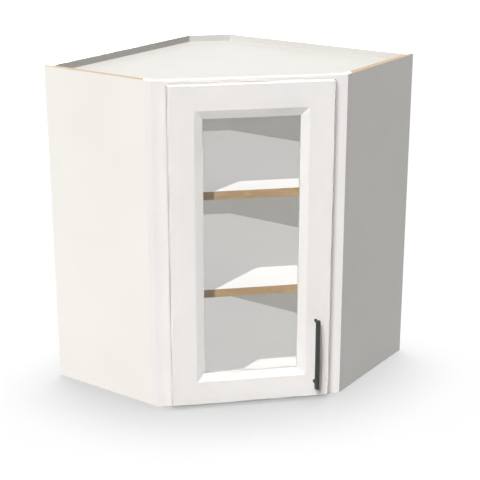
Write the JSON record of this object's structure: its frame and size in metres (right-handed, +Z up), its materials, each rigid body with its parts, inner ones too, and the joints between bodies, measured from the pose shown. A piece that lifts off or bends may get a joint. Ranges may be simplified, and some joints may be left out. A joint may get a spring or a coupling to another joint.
{
  "type": "corner wall cabinet",
  "caption": "Diagonal corner wall cabinet with a hinged glazed door, movable shelves inside and a black bar pull.",
  "frame": {"origin": "middle of the 24 inch square that the cabinet fills in the room corner, on its lower edges", "axes": "+Z up; the room corner is at -X, +Y, with one wall along -X and the other along +Y; the door faces between +X and -Y"},
  "size_m": [0.6096, 0.6096, 0.762],
  "materials": {
    "paint_white": "satin white paint on solid wood",
    "panel_white": "satin white facing on plywood, bare wood on the cut edges",
    "natural_wood": "clear satin on light brown wood",
    "clear_glass": "clear float glass",
    "nickel_steel": "nickel plated",
    "black_metal": "matt black",
    "clear_rubber": "soft clear pad"
  },
  "bodies": {
    "cabinet": {"side_panel_left": "panel_white", "side_panel_right": "panel_white", "back_panel_left": "panel_white", "back_panel_right": "panel_white", "back_panel_corner": "panel_white", "top_panel": "panel_white", "bottom_panel": "panel_white", "frame_stile_left": "paint_white", "frame_stile_right": "paint_white", "frame_rail_bottom": "paint_white", "frame_rail_top": "paint_white", "shelf_upper": "panel_white", "shelf_lower": "panel_white", "shelf_edge_upper": "natural_wood", "shelf_edge_lower": "natural_wood", "shelf_pins": "nickel_steel", "hinge_arm_upper": "nickel_steel", "hinge_arm_lower": "nickel_steel"},
    "door": {"door_stile_left": "paint_white", "door_stile_right": "paint_white", "door_rail_bottom": "paint_white", "door_rail_top": "paint_white", "glass_pane": "clear_glass", "glazing_bead_left": "paint_white", "glazing_bead_right": "paint_white", "glazing_bead_bottom": "paint_white", "glazing_bead_top": "paint_white", "hinge_cup_upper": "nickel_steel", "hinge_cup_lower": "nickel_steel", "hinge_pins": "nickel_steel", "pull_bar": "black_metal", "pull_posts": "black_metal", "pull_screws": "nickel_steel", "door_bumpers": "clear_rubber"}
  },
  "joints": [
    {"name": "door_swing", "type": "hinge", "parent": "cabinet", "child": "door", "pos_m": [0.03624, -0.28581, 0.381], "axis": [0, 0, -1], "range_deg": [0, 105]}
  ]
}
